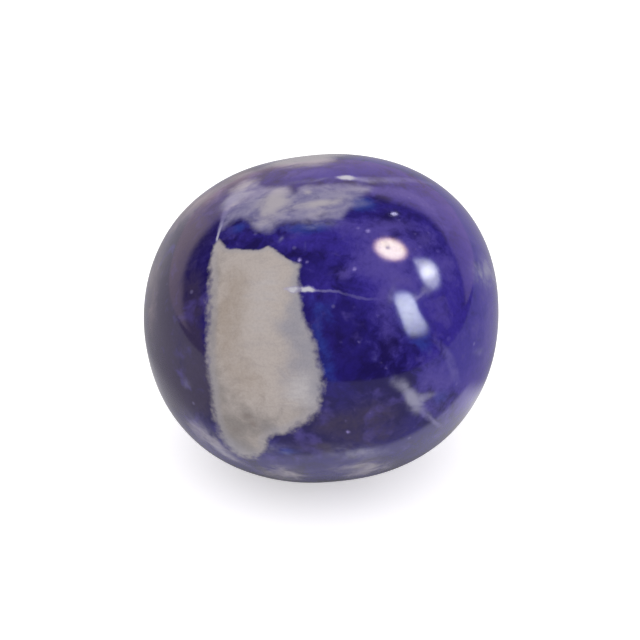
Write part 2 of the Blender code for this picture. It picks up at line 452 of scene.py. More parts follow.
# Changes over the floor in the polish: where each starts and ends, and the levels there. Towards the
# left, the white dims, the grey lightens, and the white's edge softens inwards, as shares of its half
# sizes. Towards the back right the white is dimmed, and outwards the stone's own shadow clears. That
# shadow is wider than it is deep, as its shape gives it.
WHITE_TO_LEFT = (-8 * MM, -16 * MM, 1.38, 0.73)
GREY_TO_LEFT = (-18 * MM, -45 * MM, 0.45, 0.62)
EDGE_TO_LEFT = (0.0, -12 * MM, 0.96, 0.60)
WHITE_TO_BACK_RIGHT = (16 * MM, 23 * MM, 1.0, 0.28)
SHADOW_OUTWARDS = (6 * MM, 15.5 * MM, 0.12, 1.0)
SHADOW_SHAPE = (0.8, 1.0, 1.0)

# The room's light: its strength, how much stronger it is from the key's side, the azimuth and elevation
# of that side, and its tint
SOFT_LIGHT = 1.02
KEY_SHARE = 0.14
KEY_SIDE = (55, 50)
SOFT_TINT = (1.0, 0.99, 1.0, 1)

# The room in the polish: its backdrop's levels near and far, the cosines to the camera between which it
# dims, and its edge's blur. Then the level of what is dark, the tints on the left and on the right, and
# the cosines to the right between which the tint changes.
BACKDROP_NEAR = 0.74
BACKDROP_FAR = 0.42
BACKDROP_RUN = (-0.50, -1.0)
BACKDROP_BLUR = 0.06
ROOM_DARK = 0.045
TINT_LEFT = (1.22, 1.0, 1.10, 1)
TINT_RIGHT = (1.04, 0.81, 1.04, 1)
TINT_RUN = (-0.7, 0.5)

# Elevation up to which the room's backdrop is pale, against azimuth from the front towards the right
BACKDROP_EDGE = (
    (-180, 37), (-160, 28), (-133, 16), (-107, 9), (-93, 2), (-80, -5), (-60, -25), (60, -45), (89, -17),
    (96, -7), (103, 4), (111, 14), (124, 23), (145, 27), (160, 36), (180, 37),
)

# Noises by name: the size of their features, then detail, roughness and distortion. The glass of the
# lights has its size in photo pixels.
NOISES = {
    "broad": (4.5 * MM, 2, 0.5, 0),
    "soft": (1.9 * MM, 3, 0.55, 0.3),
    "mixed": (1.2 * MM, 3, 0.5, 0.6),
    "mottle": (1.1 * MM, 5, 0.62, 0.4),
    "ragged": (0.9 * MM, 5, 0.6, 0),
    "gloss": (0.8 * MM, 4, 0.6, 0),
    "edge": (0.5 * MM, 4, 0.55, 0),
    "fibres": (0.5 * MM, 4, 0.6, 0.5),
    "white": (0.5 * MM, 4, 0.6, 0),
    "fine": (0.35 * MM, 4, 0.65, 0),
    "grain": (0.22 * MM, 3, 0.6, 0),
    "sugar": (0.16 * MM, 3, 0.7, 0),
    "pores": (0.14 * MM, 3, 0.6, 0),
    "glass": (3.0, 3, 0.6, 0),
}

# Noises drawn out along X into streaks: the share that X is scaled by before the noise is read, and the
# turn about Y after that in degrees, which picks another cut through the noise
STREAKS = {"mixed": (0.65, 8), "fibres": (0.22, 55), "white": (0.25, 50)}

# Spacing of the small lilac flecks in the blue rock and of the pits in the polish
FLECK_SPACING = 0.9 * MM
PIT_SPACING = 0.55 * MM

# The polish: the roughness of its glossiest and dullest spots, how much duller calcite is, how far its
# grain and pits go into it, and how strongly
GLOSS = (0.075, 0.105)
CALCITE_DULLNESS = 0.16
BUMP_DEPTH = 0.01 * MM
BUMP_STRENGTH = 0.35
REFRACTION = 1.5

# Linear colours
DEEPEST_BLUE = (0.012, 0.007, 0.080, 1)
BODY_BLUE = (0.018, 0.011, 0.142, 1)
BRIGHT_BLUE = (0.038, 0.024, 0.250, 1)
VIOLET = (0.062, 0.036, 0.285, 1)
DUSK = (0.040, 0.029, 0.066, 1)
TEAL_BLUE = (0.022, 0.036, 0.240, 1)
LILAC = (0.090, 0.066, 0.300, 1)
PALE_LILAC = (0.300, 0.270, 0.520, 1)
VEIL_DARK = (0.140, 0.128, 0.268, 1)
VEIL_LIGHT = (0.275, 0.255, 0.375, 1)
HAZE = (0.290, 0.285, 0.395, 1)
PALE_GREY = (0.400, 0.368, 0.400, 1)
VEIN_WHITE = (0.500, 0.495, 0.560, 1)
CALCITE = (0.435, 0.385, 0.360, 1)
# The warm, cool and dun calcite colours also paint shade low on the calcite and at its left.
CALCITE_WARM = (0.335, 0.278, 0.235, 1)
CALCITE_COOL = (0.290, 0.280, 0.320, 1)
CALCITE_CHALK = (0.470, 0.445, 0.455, 1)
CALCITE_DUN_AND_SHADE = (0.225, 0.203, 0.195, 1)
RUST = (0.160, 0.105, 0.085, 1)
MAUVE = (0.300, 0.220, 0.240, 1)
FLECK = (0.330, 0.270, 0.640, 1)
FLOOR_WHITE = (FLOOR_PALE, FLOOR_PALE, FLOOR_PALE, 1)
BLACK = (0.0, 0.0, 0.0, 1)

# What fine grain multiplies the blue rock and the calcite by
BLUE_GRAIN = (0.55, 0.55, 0.62, 1)
CALCITE_GRAIN = (0.78, 0.77, 0.78, 1)


def unit(vectors):
    """The same directions with length one, over the last axis."""
    return vectors / np.linalg.norm(vectors, axis=-1, keepdims=True)


def smooth_step(values, low, high):
    """Nought below low, one above high, and the cubic 3t^2 - 2t^3 of the share t between them."""
    share = np.clip((values - low) / (high - low), 0, 1)
    return share * share * (3 - 2 * share)


def heading(azimuth, elevation):
    """The unit vector at an azimuth from the front (-Y) towards +X and at an elevation, in degrees."""
    turn, rise = math.radians(azimuth), math.radians(elevation)
    return np.array((math.cos(rise) * math.sin(turn), -math.cos(rise) * math.cos(turn), math.sin(rise)))


def boxy_radius(ways):
    """Distance from the middle to a rolled, boxy ellipsoid: the power sum of the direction's shares of
    the three half sizes, with power FULLNESS, to the power of minus one over FULLNESS."""
    cosine, sine = math.cos(ROLL), math.sin(ROLL)
    along = cosine * ways[..., 0] + sine * ways[..., 2]
    upward = cosine * ways[..., 2] - sine * ways[..., 0]
    shares = np.stack((2 * along / WIDTH, 2 * ways[..., 1] / DEPTH, 2 * upward / HEIGHT))
    return (np.abs(shares) ** FULLNESS).sum(axis=0) ** (-1 / FULLNESS)


def swell_height(ways):
    """Sum of the swells: each is its height times e to the power of the cosine to its middle less one,
    over its spread."""
    height = np.zeros(ways.shape[:-1])
    for azimuth, elevation, reach, peak in SWELLS:
        spread = 1 - math.cos(math.radians(reach))
        height += peak * np.exp((ways @ heading(azimuth, elevation) - 1) / spread)
    return height


def wave_height(ways):
    """Sum of plane sine waves through the unit sphere, with seeded directions, turns and phases."""
    chance = np.random.default_rng(WAVE_SEED)
    directions = unit(chance.normal(size=(WAVES, 3)))
    turns = chance.uniform(*WAVE_TURNS, size=WAVES)
    phases = chance.uniform(0, 2 * np.pi, size=WAVES)
    return WAVE_HEIGHT * np.sin(ways @ directions.T * turns * np.pi + phases).sum(axis=-1)


def stone_radius(ways):
    """Distance from the stone's middle to its surface along unit vectors."""
    return boxy_radius(ways) + swell_height(ways) + wave_height(ways)


def cube_directions():
    """Unit vectors through a grid on each side of a cube, as six arrays of (CELLS + 1) squared. The two
    parameters run from -1 to 1 on a side, and tan(pi/4 t) of each spreads them at equal angles."""
    steps = np.tan(np.pi / 4 * np.linspace(-1, 1, CELLS + 1))
    first, second = np.meshgrid(steps, steps, indexing="ij")
    sides = []
    for axis in range(3):
        for sign in (-1, 1):
            corner = np.empty(first.shape + (3,))
            corner[..., axis] = sign
            corner[..., (axis + 1) % 3] = first
            corner[..., (axis + 2) % 3] = second * sign
            sides.append(unit(corner).reshape(-1, 3))
    return np.stack(sides)


def welded_grid():
    """Directions and four-sided faces of the cube's six grids, with the points on shared edges merged."""
    ways = cube_directions().reshape(-1, 3)
    _, kept, place = np.unique(np.round(ways, 7), axis=0, return_index=True, return_inverse=True)
    row = np.arange(CELLS + 1)
    index = row[:, None] * (CELLS + 1) + row[None, :]
    corners = (index[:-1, :-1], index[1:, :-1], index[1:, 1:], index[:-1, 1:])
    side = np.stack([corner.ravel() for corner in corners], axis=1)
    faces = np.concatenate([side + number * (CELLS + 1) ** 2 for number in range(6)])
    return ways[kept], place.ravel()[faces]


class View:
    """The photograph's camera, and the paths between its pixels and the stone's surface."""

    def __init__(self, middle):
        self.middle = middle
        self.right = np.array((1.0, 0.0, 0.0))
        self.up = np.array((0.0, math.sin(ELEVATION), math.cos(ELEVATION)))
        self.back = np.array((0.0, -math.cos(ELEVATION), math.sin(ELEVATION)))
        self.focal = STONE_PIXELS / STONE_WIDTH * CAMERA_DISTANCE
        aside = (MIDDLE_PIXEL[0] - PICTURE / 2) * CAMERA_DISTANCE / self.focal
        above = (PICTURE / 2 - MIDDLE_PIXEL[1]) * CAMERA_DISTANCE / self.focal
        self.eye = middle + self.back * CAMERA_DISTANCE - self.right * aside - self.up * above

    def outside(self, points):
        """Distance of each point from the stone's middle, less the stone's radius on that line."""
        offsets = points - self.middle
        lengths = np.linalg.norm(offsets, axis=-1)
        return lengths - stone_radius(offsets / lengths[..., None])

    def on_stone(self, pixels):
        """Where the rays of the pixels meet the stone: each span of ray is halved until it is found."""
        pixels = np.asarray(pixels, float)
        across = (pixels[..., :1] - PICTURE / 2) / self.focal
        upward = (PICTURE / 2 - pixels[..., 1:2]) / self.focal
        rays = unit(across * self.right + upward * self.up - self.back)
        near = np.full(pixels.shape[:-1], CAMERA_DISTANCE - 0.6 * WIDTH)
        far = np.full(pixels.shape[:-1], CAMERA_DISTANCE)
        for _ in range(RAY_HALVINGS):
            half = (near + far) / 2
            free = self.outside(self.eye + rays * half[..., None]) > 0
            near, far = np.where(free, half, near), np.where(free, far, half)
        return self.eye + rays * near[..., None]

    def mirrored(self, pixels):
        """Where the rays of the pixels meet the stone, and the directions that it reflects them in: each
        ray less twice its share along the slope of the distance outside."""
        points = self.on_stone(pixels)
        rays = unit(points - self.eye)
        nudges = np.eye(3) * SLOPE_STEP
        slopes = [self.outside(points + nudge) - self.outside(points - nudge) for nudge in nudges]
        normals = unit(np.stack(slopes, axis=-1))
        return points, rays - 2 * (rays * normals).sum(axis=-1, keepdims=True) * normals


class Chart:
    """A side of the stone laid out flat: the angle from the side's middle, as a length in millimetres,
    is kept in every direction, so distances near the middle are true and further out nearly so."""

    def __init__(self, middle, out, right, points):
        self.middle, self.out, self.right = middle, out, right
        self.up = np.cross(out, right)
        self.flat = self.spread(points)

    def spread(self, points):
        """Flat coordinates in millimetres of points on the stone."""
        ways = unit(points - self.middle)
        across, upward = ways @ self.right, ways @ self.up
        sine = np.hypot(across, upward)
        angle = np.arctan2(sine, ways @ self.out)
        scale = UNROLL_RADIUS * angle / np.maximum(sine, 1e-9)
        return np.stack((across * scale, upward * scale), axis=-1)

    def place(self, marks):
        """Flat places of marks that are given in millimetres."""
        return np.asarray(marks, float)[:, :2]


class PhotoChart(Chart):
    """The side that the photograph shows, whose marks are given in photo pixels."""

    def __init__(self, view, points):
        self.view = view
        super().__init__(view.middle, view.back, view.right, points)

    def place(self, marks):
        """Flat places of marks that are given in photo pixels."""
        return self.spread(self.view.on_stone(super().place(marks)))


def curve_through(points, steps, closed):
    """Catmull-Rom curve: between two points, the cubic that leaves each along half the step between
    its neighbours. Works on every column alike, so widths and strengths are carried along too."""
    points = np.asarray(points, float)
    if closed:
        before, start = np.roll(points, 1, axis=0), points
        end, after = np.roll(points, -1, axis=0), np.roll(points, -2, axis=0)
    else:
        padded = np.concatenate((2 * points[:1] - points[1:2], points, 2 * points[-1:] - points[-2:-1]))
        before, start, end, after = padded[:-3], padded[1:-2], padded[2:-1], padded[3:]
    t = np.arange(steps)[None, :, None] / steps
    before, start, end, after = (item[:, None, :] for item in (before, start, end, after))
    curve = 0.5 * (
        2 * start
        + (end - before) * t
        + (2 * before - 5 * start + 4 * end - after) * t**2
        + (3 * start - before - 3 * end + after) * t**3
    )
    curve = curve.reshape(-1, points.shape[1])
    return curve if closed else np.concatenate((curve, points[-1:]))


def nearest_on_path(points, path):
    """For each flat point: distance to the path, signed distance to its left, the nearest segment's
    number, and the share along that segment."""
    start, end = path[:-1], path[1:]
    run = end - start
    length = np.maximum((run * run).sum(axis=1), 1e-12)
    offset = points[:, None, :] - start[None]
    share = np.clip((offset * run).sum(axis=2) / length, 0, 1)
    gap = offset - share[..., None] * run
    distance = np.hypot(gap[..., 0], gap[..., 1])
    nearest = distance.argmin(axis=1)
    rows = np.arange(len(points))
    beside = run[nearest, 0] * offset[rows, nearest, 1] - run[nearest, 1] * offset[rows, nearest, 0]
    beside /= np.sqrt(length[nearest])
    return distance[rows, nearest], beside, nearest, share[rows, nearest]


def depth_inside(points, outline):
    """Distance of each flat point to the closed outline, positive inside. A point is inside if a line
    from it to the right crosses the outline an odd number of times."""
    closed = np.concatenate((outline, outline[:1]))
    distance = nearest_on_path(points, closed)[0]
    start, end = closed[:-1], closed[1:]
    height = points[:, 1:2]
    spans = (start[:, 1] > height) != (end[:, 1] > height)
    rise = np.where(end[:, 1] == start[:, 1], 1e-12, end[:, 1] - start[:, 1])
    crossing = start[:, 0] + (height - start[:, 1]) / rise * (end[:, 0] - start[:, 0])
    inside = (spans & (points[:, :1] < crossing)).sum(axis=1) % 2 == 1
    return np.where(inside, distance, -distance)


def within(flat, path, margin):
    """The numbers of the flat points in the path's bounding box with a margin."""
    low, high = path[:, :2].min(axis=0) - margin, path[:, :2].max(axis=0) + margin
    return np.flatnonzero(((flat > low) & (flat < high)).all(axis=1))


def patch_depth(flat, outline):
    """Depth inside a closed flat outline, kept within DEPTH_LIMIT of its edge on either side."""
    smooth = curve_through(outline, 4, closed=True)
    near = within(flat, smooth, DEPTH_LIMIT)
    depth = np.full(len(flat), -DEPTH_LIMIT)
    depth[near] = depth_inside(flat[near], smooth)
    return np.clip(depth, -DEPTH_LIMIT, DEPTH_LIMIT)


def vein_group(sides, group):
    """Three numbers for each point: signed distance beside the nearest vein, the vein's half width there,
    and its strength, which fades out past either end."""
    nearest = np.full(len(sides["photo"].flat), VEIN_REACH)
    field = np.tile((VEIN_REACH, 0.1, 0.0), (len(nearest), 1))
    for side, veins in group.items():
        flat = sides[side].flat
        for vein in veins:
            vein = np.asarray(vein, float)
            path = curve_through(np.column_stack((sides[side].place(vein), vein[:, 2:])), 6, closed=False)
            near = within(flat, path, VEIN_REACH)
            distance, beside, piece, share = nearest_on_path(flat[near], path[:, :2])
            closer = distance < nearest[near]
            near, distance, beside, piece, share = (
                item[closer] for item in (near, distance, beside, piece, share)
            )
            width, strength = (path[piece, k] * (1 - share) + path[piece + 1, k] * share for k in (2, 3))
            past_end = np.sqrt(np.maximum(distance**2 - beside**2, 0))
            strength = strength * (1 - smooth_step(distance, *VEIN_SIDE_FADE))
            strength = strength * (1 - smooth_step(past_end, *VEIN_END_FADE))
            nearest[near] = distance
            field[near] = np.stack((beside, width, strength), axis=1)
    return field


def dab_cover(flat, middle, length, breadth, turn, strength):
    """A soft dab: its strength times e to the power of minus the square of the distance in half sizes."""
    offset = flat - middle
    cosine, sine = math.cos(math.radians(turn)), math.sin(math.radians(turn))
    along = (offset[:, 0] * cosine + offset[:, 1] * sine) / length
    beside = (offset[:, 1] * cosine - offset[:, 0] * sine) / breadth
    return strength * np.exp(-(along**2) - beside**2)


def dab_field(sides, dabs_by_side):
    """Dabs joined: what each leaves uncovered is multiplied, so dabs that overlap don't pass one."""
    bare = np.ones(len(sides["photo"].flat))
    for side, dabs in dabs_by_side.items():
        for middle, dab in zip(sides[side].place([dab[:2] for dab in dabs]), dabs):
            bare *= 1 - dab_cover(sides[side].flat, middle, *dab[2:])
    return 1 - bare


def marking_fields(view, points):
    """All the fields that the material reads, by name, for points on the stone."""
    sides = {"photo": PhotoChart(view, points)}
    for side, (azimuth, elevation) in SIDES.items():
        sides[side] = Chart(view.middle, heading(azimuth, elevation), heading(azimuth + 90, 0), points)
    fields = {}
    for kind, outlines_by_side in OUTLINES.items():
        depths = [patch_depth(sides[side].flat, sides[side].place(outline))
                  for side, outlines in outlines_by_side.items() for outline in outlines]
        fields[f"{kind}_depth"] = np.max(depths, axis=0)
    for kind, dabs_by_side in DABS.items():
        fields[kind] = dab_field(sides, dabs_by_side)
    flecks = [(x, y, half, half, 0, strength) for x, y, half, strength in FLECKS]
    fields["fleck"] = dab_field(sides, {"photo": flecks})
    for name, group in VEINS.items():
        fields[f"{name}_veins"] = vein_group(sides, group)
    return fields


class Nodes:
    """Adds nodes to a tree, one call each. A value may be a number, a colour or another node's output."""

    def __init__(self, tree):
        self.tree = tree

    def add(self, kind, values=(), **settings):
        """A new node with settings, and with values for its inputs by their name or number."""
        node = self.tree.nodes.new(kind)
        for name, setting in settings.items():
            setattr(node, name, setting)
        for place, value in dict(values).items():
            self.feed(node.inputs[place], value)
        return node

    def feed(self, socket, value):
        """Links an output to a socket, or sets the socket's own value."""
        if isinstance(value, bpy.types.NodeSocket):
            self.tree.links.new(value, socket)
        else:
            socket.default_value = value

    def maths(self, operation, *values):
        """An operation on numbers."""
        return self.add("ShaderNodeMath", enumerate(values), operation=operation).outputs[0]

    def plus(self, first, second):
        """Two numbers added."""
        return self.maths("ADD", first, second)

    def times(self, first, second):
        """Two numbers multiplied."""
        return self.maths("MULTIPLY", first, second)

    def vectors(self, operation, *values, result="Vector"):
        """An operation on vectors. Its result is "Value" where that is one number."""
        return self.add("ShaderNodeVectorMath", enumerate(values), operation=operation).outputs[result]

    def split(self, vector):
        """The three parts of a vector."""
        return self.add("ShaderNodeSeparateXYZ", {0: vector}).outputs

    def field(self, name, result="Fac"):
        """A field that the mesh keeps. Its result is "Vector" where that is three numbers."""
        return self.add("ShaderNodeAttribute", attribute_name=name).outputs[result]

    def step(self, value, low, high, start=0.0, end=1.0):
        """From start to end, smoothly, as the value goes from low to high."""
        values = {"Value": value, "From Min": low, "From Max": high, "To Min": start, "To Max": end}
        return self.add("ShaderNodeMapRange", values, interpolation_type="SMOOTHSTEP").outputs[0]

    def blend(self, share, first, second, how="MIX"):
        """Colours mixed: the first at share 0, and the second or their product at share 1."""
        values = {0: share, 6: first, 7: second}
        return self.add("ShaderNodeMix", values, data_type="RGBA", blend_type=how).outputs[2]

    def noise(self, place, name):
        """Cloudy noise about 0.5, by its name in NOISES and STREAKS."""
        if name in STREAKS:
            share, turn = STREAKS[name]
            values = {"Vector": place, "Rotation": (0, math.radians(turn), 0), "Scale": (share, 1, 1)}
            place = self.add("ShaderNodeMapping", values, vector_type="POINT").outputs[0]
        size, detail, roughness, distortion = NOISES[name]
        values = {"Vector": place, "Scale": 1 / size, "Detail": detail, "Roughness": roughness,
                  "Distortion": distortion}
        return self.add("ShaderNodeTexNoise", values).outputs["Fac"]

    def about_nought(self, noise, amount):
        """Noise shifted to lie evenly about nought, times an amount."""
        return self.maths("MULTIPLY_ADD", noise, amount, -amount / 2)

    def cells(self, place, spacing):
        """Distance to the middle of the nearest cell, in cells, and three random numbers for each cell."""
        cells = self.add("ShaderNodeTexVoronoi", {"Vector": place, "Scale": 1 / spacing}).outputs
        return cells["Distance"], self.add("ShaderNodeSeparateColor", {0: cells["Color"]}).outputs


def new_material(name):
    """A material, its main shader, and what adds nodes to it."""
    material = bpy.data.materials.new(name)
    material.use_nodes = True
    return material, material.node_tree.nodes["Principled BSDF"], Nodes(material.node_tree)


def vein_cover(nodes, name, waver):
    """How far a vein covers the stone: full near its middle line, none past 1.7 half widths from it."""
    beside, width, strength = nodes.split(nodes.field(name, "Vector"))
    beside = nodes.maths("ABSOLUTE", nodes.plus(beside, waver))
    return nodes.times(nodes.step(nodes.maths("DIVIDE", beside, width), 1.7, 0.3), strength)


def clouded(nodes, colour, noise, amount, layers):
    """A colour under clouds of tints. Each layer is a field's name, a tint, and the numbers low, high and
    share: the tint shows as the field plus an amount of noise goes from low to high, up to its share."""
    for name, tint, low, high, share in layers:
        density = nodes.plus(nodes.field(name), nodes.about_nought(noise, amount))
        colour = nodes.blend(nodes.step(density, low, high, 0.0, share), colour, tint)
    return colour


def lapis_body(nodes, place, mottle):
    """The blue rock: broad clouds of deeper and brighter blue, mottled, with small lilac flecks. Its lilac
    clouds round the lamp's and the windows' reflections are partly a painted glow of those reflections.
    """
    tone = nodes.times(nodes.plus(nodes.noise(place, "broad"), mottle), 0.5)
    tone = nodes.maths("MULTIPLY_ADD", nodes.field("shade"), -0.09, tone)
    colour = nodes.blend(nodes.step(tone, 0.40, 0.56), DEEPEST_BLUE, BODY_BLUE)
    colour = clouded(nodes, colour, mottle, 1.3, (
        ("glow", BRIGHT_BLUE, 0.10, 0.85, 1.0),
        ("violet", VIOLET, 0.15, 0.95, 0.9),
        ("dusk", DUSK, 0.10, 0.80, 0.9),
        ("teal", TEAL_BLUE, 0.12, 0.75, 1.0),
        ("lilac", LILAC, 0.10, 1.05, 0.9),
    ))
    colour = nodes.blend(nodes.step(nodes.noise(place, "soft"), 0.56, 0.74, 0.0, 0.45), colour, LILAC)
    distance, (chosen, size, _) = nodes.cells(place, FLECK_SPACING)
    radius = nodes.maths("MULTIPLY_ADD", size, 0.16, 0.06)
    fleck = nodes.step(nodes.maths("DIVIDE", distance, radius), 1.3, 0.4)
    fleck = nodes.times(fleck, nodes.step(chosen, 0.86, 0.96, 0.0, 0.22))
    colour = nodes.blend(fleck, colour, PALE_LILAC)
    darker = nodes.step(nodes.noise(place, "grain"), 0.30, 0.70, 0.0, 0.30)
    return nodes.blend(darker, colour, BLUE_GRAIN, "MULTIPLY")


def mixed_rock(nodes, place, mottle, colour):
    """Rock in which white and blue are finely mixed: the veil, and haze and pale dabs on it."""
    fine = nodes.about_nought(nodes.noise(place, "fine"), 0.25)
    cloudy = nodes.plus(nodes.noise(place, "mixed"), fine)
    rock = nodes.blend(nodes.step(cloudy, 0.29, 0.69), VEIL_DARK, VEIL_LIGHT)
    ragged = nodes.about_nought(nodes.noise(place, "ragged"), 0.9)
    cover = nodes.step(nodes.plus(nodes.field("veil_depth"), ragged), -0.50, 0.55, 0.0, 0.92)
    cover = nodes.times(cover, nodes.step(mottle, 0.25, 0.50, 0.65, 1.0))
    colour = nodes.blend(cover, colour, rock)
    for name, tint, share in (("haze", HAZE, 0.85), ("pale", PALE_GREY, 0.95)):
        field = nodes.field(name)
        uneven = nodes.times(nodes.step(field, 0.0, 0.35), nodes.about_nought(cloudy, 1.0))
        density = nodes.plus(field, uneven)
        colour = nodes.blend(nodes.step(density, 0.02, 0.95, 0.0, share), colour, tint)
    return colour


def calcite_rock(nodes, place, mottle):
    """Calcite: warm, grey and chalky clouds, fibres, fine sugary grain and small brown stains. Its warm,
    grey and dun clouds low on it and at its left are partly painted shade, darker towards the bottom.
    """
    fibres, sugar = nodes.noise(place, "fibres"), nodes.noise(place, "sugar")
    colour = clouded(nodes, CALCITE, mottle, 1.0, (
        ("warm", CALCITE_WARM, 0.05, 1.0, 0.95),
        ("cool", CALCITE_COOL, 0.05, 1.0, 0.95),
        ("dun_and_shade", CALCITE_DUN_AND_SHADE, 0.05, 1.0, 0.95),
    ))
    colour = clouded(nodes, colour, fibres, 1.0, (("chalk", CALCITE_CHALK, 0.05, 1.0, 0.95),))
    for noise, low, high, share in ((fibres, 0.50, 0.74, 0.45), (sugar, 0.38, 0.66, 0.40)):
        colour = nodes.blend(nodes.step(noise, low, high, 0.0, share), colour, CALCITE_GRAIN, "MULTIPLY")
    return nodes.blend(nodes.times(nodes.field("rust"), 0.7), colour, RUST)


def calcite_depth(nodes, edge):
    """How far inside the calcite a point is, as a multiple of half its edge's softness. The ragged field
    both frays the edge and softens it."""
    ragged = nodes.field("ragged")
    fray = nodes.maths("MULTIPLY_ADD", ragged, 1.3, 0.35)
    frayed = nodes.times(nodes.about_nought(edge, 1.0), fray)
    softness = nodes.maths("MULTIPLY_ADD", ragged, 0.55, 0.12)
    return nodes.maths("DIVIDE", nodes.plus(nodes.field("calcite_depth"), frayed), softness)


def veined(nodes, mottle, edge, colour):
    """The rock with its veins: lilac where they are faint and white where they are strong."""
    veins = 0.0
    for name in VEINS:
        cover = vein_cover(nodes, f"{name}_veins", nodes.about_nought(edge, 0.30))
        veins = nodes.maths("MAXIMUM", veins, cover)
    veins = nodes.times(veins, nodes.step(mottle, 0.30, 0.50, 0.45, 1.0))
    return nodes.blend(veins, colour, nodes.blend(nodes.step(veins, 0.25, 0.80), PALE_LILAC, VEIN_WHITE))


def polish(nodes, shader, place, calcite):
    """A high polish, a little duller on calcite, with fine grain and pits."""
    gloss = nodes.step(nodes.noise(place, "gloss"), 0.3, 0.7, *GLOSS)
    nodes.feed(shader.inputs["Roughness"], nodes.maths("MULTIPLY_ADD", calcite, CALCITE_DULLNESS, gloss))
    coarse = nodes.maths("MULTIPLY_ADD", calcite, 0.9, 0.1)
    height = nodes.times(nodes.noise(place, "pores"), coarse)
    distance, (chosen, _, _) = nodes.cells(place, PIT_SPACING)
    pits = nodes.times(nodes.step(distance, 0.16, 0.06), nodes.step(chosen, 0.80, 0.90))
    height = nodes.maths("MULTIPLY_ADD", pits, -0.8, height)
    values = {"Strength": BUMP_STRENGTH, "Distance": BUMP_DEPTH, "Height": height}
    nodes.feed(shader.inputs["Normal"], nodes.add("ShaderNodeBump", values).outputs[0])
    shader.inputs["IOR"].default_value = REFRACTION


def polished_lapis():
    """The stone's finish: blue rock, mixed rock, clouds and veins of white, calcite, and a high polish."""
    material, shader, nodes = new_material("polished_lapis")
    place = nodes.add("ShaderNodeTexCoord").outputs["Object"]
    mottle, edge = nodes.noise(place, "mottle"), nodes.noise(place, "edge")

    colour = lapis_body(nodes, place, mottle)
    colour = mixed_rock(nodes, place, mottle, colour)
    colour = clouded(nodes, colour, mottle, 0.6, (("mauve", MAUVE, 0.05, 0.95, 0.85),))

    # White patches, whose edges are partly streaked and partly mottled
    fray = nodes.maths("MULTIPLY_ADD", nodes.noise(place, "white"), 0.4, nodes.times(mottle, 0.6))
    colour = clouded(nodes, colour, fray, 1.4, (("white_depth", PALE_GREY, -0.25, 0.45, 0.85),))

    # Calcite, which is cooler near its edge
    depth = calcite_depth(nodes, edge)
    calcite = nodes.step(depth, -1.0, 1.0)
    cooler = nodes.step(depth, 0.5, 4.0, 0.45, 0.0)
    rock = nodes.blend(cooler, calcite_rock(nodes, place, mottle), CALCITE_COOL)
    colour = nodes.blend(calcite, colour, rock)

    colour = veined(nodes, mottle, edge, colour)
    colour = nodes.blend(nodes.step(nodes.field("fleck"), 0.05, 0.95), colour, FLECK)
    nodes.feed(shader.inputs["Base Color"], colour)
    polish(nodes, shader, place, calcite)
    return material


def add_piece(name, points, faces, material):
    """A new object whose mesh has these points, faces and finish."""
    mesh = bpy.data.meshes.new(name)
    mesh.from_pydata(points, [], faces)
    mesh.materials.append(material)
    piece = bpy.data.objects.new(name, mesh)
    bpy.context.scene.collection.objects.link(piece)
    return piece


def keep_field(piece, name, values):
    """Keeps one number or three for each point on the piece's mesh."""
    kind, key = ("FLOAT_VECTOR", "vector") if values.ndim == 2 else ("FLOAT", "value")
    attribute = piece.data.attributes.new(name, kind, "POINT")
    attribute.data.foreach_set(key, values.astype(np.float32).ravel())


def make_stone():
    """The pebble as one fine closed surface: direction times radius, its foot flattened on the ground.
    Returns the photograph's view of it."""
    ways, faces = welded_grid()
    raw = ways * stone_radius(ways)[:, None]
    low, high = raw.min(axis=0), raw.max(axis=0)
    box_low, box_high = (np.array(corner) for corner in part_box("stone"))
    middle = (box_low + box_high) / 2 - (low + high) / 2
    middle[2] = box_low[2] - low[2] - FOOT_CUT
    points = raw + middle
    view = View(middle)
    fields = marking_fields(view, points)
    sink = CALCITE_SINK * smooth_step(fields["calcite_depth"], 0, CALCITE_SINK_RUN)
    points -= ways * sink[:, None]
    points[:, 2] = (points[:, 2] + np.sqrt(points[:, 2] ** 2 + FOOT_EDGE**2)) / 2
    stone = add_piece("tumbled_stone", points, faces, polished_lapis())
    stone.data.shade_smooth()
    for name, values in fields.items():
        keep_field(stone, name, values)
    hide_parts("stone")
    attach(stone, "root")
    return view


def glowing(name, inner, outer, strength, fade, heart=None, reach=None, low=None, spot=None):
    """A light's own surface: one colour in its middle and another at its rim, where it also fades, from a
    share of the way out. With a heart it is brightest there, and at the reach from it falls to a low
    share of that. It may have a dark spot. Heart, reach and spot are in photo pixels."""
    material, shader, nodes = new_material(name)
    nodes.tree.nodes.remove(shader)
    share, pixel = nodes.field("share"), nodes.field("pixel", "Vector")
    colour = nodes.blend(nodes.step(share, fade - 0.15, 0.98), inner, outer)
    factors = [
        nodes.step(nodes.noise(pixel, "glass"), 0.35, 0.62, 0.72, 1.0),
        nodes.step(share, 1.0, fade, 0.10, 1.0),
    ]
    if heart:
        away = nodes.vectors("DISTANCE", pixel, (*heart, 0.0), result="Value")
        factors.append(nodes.step(away, 0.0, reach, 1.0, low))
    if spot:
        away = nodes.vectors("DISTANCE", pixel, (*spot, 0.0), result="Value")
        factors.append(nodes.step(away, *SPOT_EDGE, 0.06, 1.0))
    for factor in factors:
        strength = nodes.times(factor, strength)
    light = nodes.add("ShaderNodeEmission", {"Color": colour, "Strength": strength})
    nodes.feed(nodes.tree.nodes["Material Output"].inputs["Surface"], light.outputs[0])
    return material


